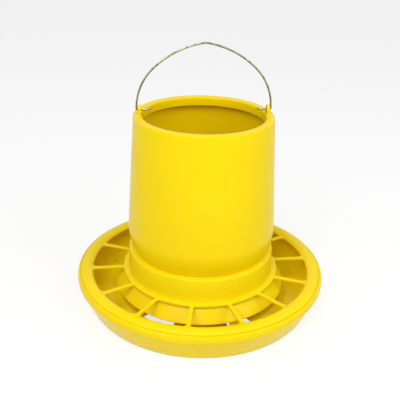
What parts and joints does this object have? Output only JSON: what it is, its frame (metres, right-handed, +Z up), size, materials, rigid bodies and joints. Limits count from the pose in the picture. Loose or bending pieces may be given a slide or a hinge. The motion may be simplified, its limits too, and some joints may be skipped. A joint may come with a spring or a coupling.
{
  "type": "poultry feeder",
  "caption": "Hanging poultry feeder with a tapered hopper, a wire bail, and a round feed pan under a spoked anti-waste grille.",
  "frame": {"origin": "centre of the round base, on the floor and on the feeder's upright axis", "axes": "+Z up along the hopper's axis; X along the bail's pivot; the side towards the picture's camera faces -Y"},
  "size_m": [0.3104, 0.3104, 0.3193],
  "materials": {
    "hopper_plastic": "semi-gloss moulded",
    "grille_plastic": "semi-gloss moulded",
    "pan_plastic": "semi-gloss moulded",
    "bail_wire": "plain drawn wire with a dull yellowish tint"
  },
  "bodies": {
    "feeder": {"hopper": "hopper_plastic", "anti_waste_grille": "grille_plastic", "feed_pan": "pan_plastic"},
    "bail": {"bail_handle": "bail_wire"}
  },
  "joints": [
    {"name": "bail_swing", "type": "hinge", "parent": "feeder", "child": "bail", "pos_m": [0, 0, 0.2428], "axis": [1, 0, 0], "range_deg": [-92, 92]}
  ]
}
